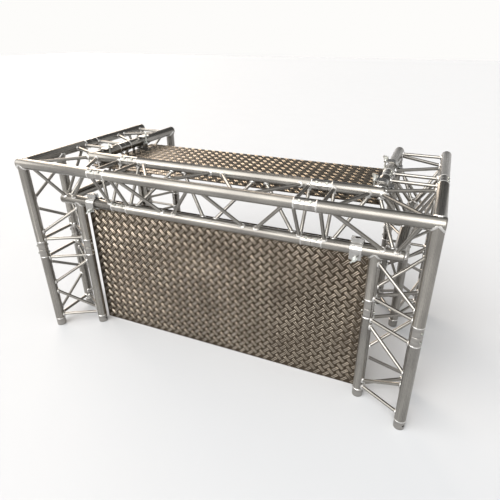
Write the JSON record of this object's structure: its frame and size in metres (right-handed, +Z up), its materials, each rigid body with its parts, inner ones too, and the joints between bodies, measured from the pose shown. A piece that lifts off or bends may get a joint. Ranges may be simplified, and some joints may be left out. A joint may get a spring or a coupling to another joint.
{
  "type": "dj booth",
  "caption": "U-shaped stage booth of triangular aluminium truss on truss legs, with a tread-plate front panel and a tread-plate counter hung from hinged half couplers.",
  "frame": {"origin": "middle of the footprint, on the floor", "axes": "+X to the right seen from the audience, +Y from the front panel to the open back, +Z up"},
  "size_m": [2, 1, 1.026],
  "materials": {
    "tube": "drawn, slightly dull",
    "tread_plate": "rolled bright",
    "clamp": "polished",
    "zinc_steel": "zinc plated"
  },
  "bodies": {
    "booth_frame": {"front_beam_chords": "tube", "front_beam_braces": "tube", "front_corner_left_chords": "tube", "front_corner_left_braces": "tube", "rear_corner_left_chords": "tube", "rear_corner_left_braces": "tube", "front_leg_left_chords": "tube", "front_leg_left_braces": "tube", "rear_leg_left_chords": "tube", "rear_leg_left_braces": "tube", "front_corner_right_chords": "tube", "front_corner_right_braces": "tube", "rear_corner_right_chords": "tube", "rear_corner_right_braces": "tube", "front_leg_right_chords": "tube", "front_leg_right_braces": "tube", "rear_leg_right_chords": "tube", "rear_leg_right_braces": "tube", "tube_caps": "tube", "conical_couplers": "clamp", "front_panel": "tread_plate", "counter_top": "tread_plate", "clamp_bases": "clamp", "clamp_straps": "clamp", "clamp_hinge_pins": "zinc_steel", "clamp_pivot_pins": "zinc_steel", "plate_bolts": "zinc_steel", "plate_nuts": "zinc_steel"},
    "swing_bolt_panel_left": {"swing_bolt_panel_left": "zinc_steel"},
    "clamp_washer_panel_left": {"clamp_washer_panel_left": "zinc_steel"},
    "wing_nut_panel_left": {"wing_nut_panel_left": "zinc_steel"},
    "swing_bolt_panel_right": {"swing_bolt_panel_right": "zinc_steel"},
    "clamp_washer_panel_right": {"clamp_washer_panel_right": "zinc_steel"},
    "wing_nut_panel_right": {"wing_nut_panel_right": "zinc_steel"},
    "swing_bolt_counter_left_front": {"swing_bolt_counter_left_front": "zinc_steel"},
    "clamp_washer_counter_left_front": {"clamp_washer_counter_left_front": "zinc_steel"},
    "wing_nut_counter_left_front": {"wing_nut_counter_left_front": "zinc_steel"},
    "swing_bolt_counter_left_rear": {"swing_bolt_counter_left_rear": "zinc_steel"},
    "clamp_washer_counter_left_rear": {"clamp_washer_counter_left_rear": "zinc_steel"},
    "wing_nut_counter_left_rear": {"wing_nut_counter_left_rear": "zinc_steel"},
    "swing_bolt_counter_right_front": {"swing_bolt_counter_right_front": "zinc_steel"},
    "clamp_washer_counter_right_front": {"clamp_washer_counter_right_front": "zinc_steel"},
    "wing_nut_counter_right_front": {"wing_nut_counter_right_front": "zinc_steel"},
    "swing_bolt_counter_right_rear": {"swing_bolt_counter_right_rear": "zinc_steel"},
    "clamp_washer_counter_right_rear": {"clamp_washer_counter_right_rear": "zinc_steel"},
    "wing_nut_counter_right_rear": {"wing_nut_counter_right_rear": "zinc_steel"}
  },
  "joints": [
    {"name": "swing_bolt_panel_left_swing", "type": "hinge", "parent": "booth_frame", "child": "swing_bolt_panel_left", "pos_m": [-0.678, -0.343, 0.73415], "axis": [1, 0, 0], "range_deg": [0, 90]},
    {"name": "clamp_washer_panel_left_lift", "type": "slide", "parent": "swing_bolt_panel_left", "child": "clamp_washer_panel_left", "axis": [0, -1, 0], "range_m": [0, 0.005]},
    {"name": "wing_nut_panel_left_turn", "type": "hinge", "parent": "clamp_washer_panel_left", "child": "wing_nut_panel_left", "pos_m": [-0.678, -0.343, 0.73415], "axis": [0, -1, 0], "range_deg": [0, 1440]},
    {"name": "swing_bolt_panel_right_swing", "type": "hinge", "parent": "booth_frame", "child": "swing_bolt_panel_right", "pos_m": [0.69, -0.343, 0.73415], "axis": [1, 0, 0], "range_deg": [0, 90]},
    {"name": "clamp_washer_panel_right_lift", "type": "slide", "parent": "swing_bolt_panel_right", "child": "clamp_washer_panel_right", "axis": [0, -1, 0], "range_m": [0, 0.005]},
    {"name": "wing_nut_panel_right_turn", "type": "hinge", "parent": "clamp_washer_panel_right", "child": "wing_nut_panel_right", "pos_m": [0.69, -0.343, 0.73415], "axis": [0, -1, 0], "range_deg": [0, 1440]},
    {"name": "swing_bolt_counter_left_front_swing", "type": "hinge", "parent": "booth_frame", "child": "swing_bolt_counter_left_front", "pos_m": [-0.702, -0.148, 0.963], "axis": [0, 1, 0], "range_deg": [0, 90]},
    {"name": "clamp_washer_counter_left_front_lift", "type": "slide", "parent": "swing_bolt_counter_left_front", "child": "clamp_washer_counter_left_front", "axis": [0, 0, 1], "range_m": [0, 0.005]},
    {"name": "wing_nut_counter_left_front_turn", "type": "hinge", "parent": "clamp_washer_counter_left_front", "child": "wing_nut_counter_left_front", "pos_m": [-0.702, -0.148, 0.963], "axis": [0, 0, 1], "range_deg": [0, 1440]},
    {"name": "swing_bolt_counter_left_rear_swing", "type": "hinge", "parent": "booth_frame", "child": "swing_bolt_counter_left_rear", "pos_m": [-0.702, 0.172, 0.963], "axis": [0, 1, 0], "range_deg": [0, 90]},
    {"name": "clamp_washer_counter_left_rear_lift", "type": "slide", "parent": "swing_bolt_counter_left_rear", "child": "clamp_washer_counter_left_rear", "axis": [0, 0, 1], "range_m": [0, 0.005]},
    {"name": "wing_nut_counter_left_rear_turn", "type": "hinge", "parent": "clamp_washer_counter_left_rear", "child": "wing_nut_counter_left_rear", "pos_m": [-0.702, 0.172, 0.963], "axis": [0, 0, 1], "range_deg": [0, 1440]},
    {"name": "swing_bolt_counter_right_front_swing", "type": "hinge", "parent": "booth_frame", "child": "swing_bolt_counter_right_front", "pos_m": [0.702, -0.148, 0.963], "axis": [0, -1, 0], "range_deg": [0, 90]},
    {"name": "clamp_washer_counter_right_front_lift", "type": "slide", "parent": "swing_bolt_counter_right_front", "child": "clamp_washer_counter_right_front", "axis": [0, 0, 1], "range_m": [0, 0.005]},
    {"name": "wing_nut_counter_right_front_turn", "type": "hinge", "parent": "clamp_washer_counter_right_front", "child": "wing_nut_counter_right_front", "pos_m": [0.702, -0.148, 0.963], "axis": [0, 0, 1], "range_deg": [0, 1440]},
    {"name": "swing_bolt_counter_right_rear_swing", "type": "hinge", "parent": "booth_frame", "child": "swing_bolt_counter_right_rear", "pos_m": [0.702, 0.172, 0.963], "axis": [0, -1, 0], "range_deg": [0, 90]},
    {"name": "clamp_washer_counter_right_rear_lift", "type": "slide", "parent": "swing_bolt_counter_right_rear", "child": "clamp_washer_counter_right_rear", "axis": [0, 0, 1], "range_m": [0, 0.005]},
    {"name": "wing_nut_counter_right_rear_turn", "type": "hinge", "parent": "clamp_washer_counter_right_rear", "child": "wing_nut_counter_right_rear", "pos_m": [0.702, 0.172, 0.963], "axis": [0, 0, 1], "range_deg": [0, 1440]}
  ],
  "couplings": [
    {"joint": "clamp_washer_panel_left_lift", "follows": "wing_nut_panel_left_turn", "m_per_rad": 0.00019894},
    {"joint": "clamp_washer_panel_right_lift", "follows": "wing_nut_panel_right_turn", "m_per_rad": 0.00019894},
    {"joint": "clamp_washer_counter_left_front_lift", "follows": "wing_nut_counter_left_front_turn", "m_per_rad": 0.00019894},
    {"joint": "clamp_washer_counter_left_rear_lift", "follows": "wing_nut_counter_left_rear_turn", "m_per_rad": 0.00019894},
    {"joint": "clamp_washer_counter_right_front_lift", "follows": "wing_nut_counter_right_front_turn", "m_per_rad": 0.00019894},
    {"joint": "clamp_washer_counter_right_rear_lift", "follows": "wing_nut_counter_right_rear_turn", "m_per_rad": 0.00019894}
  ]
}
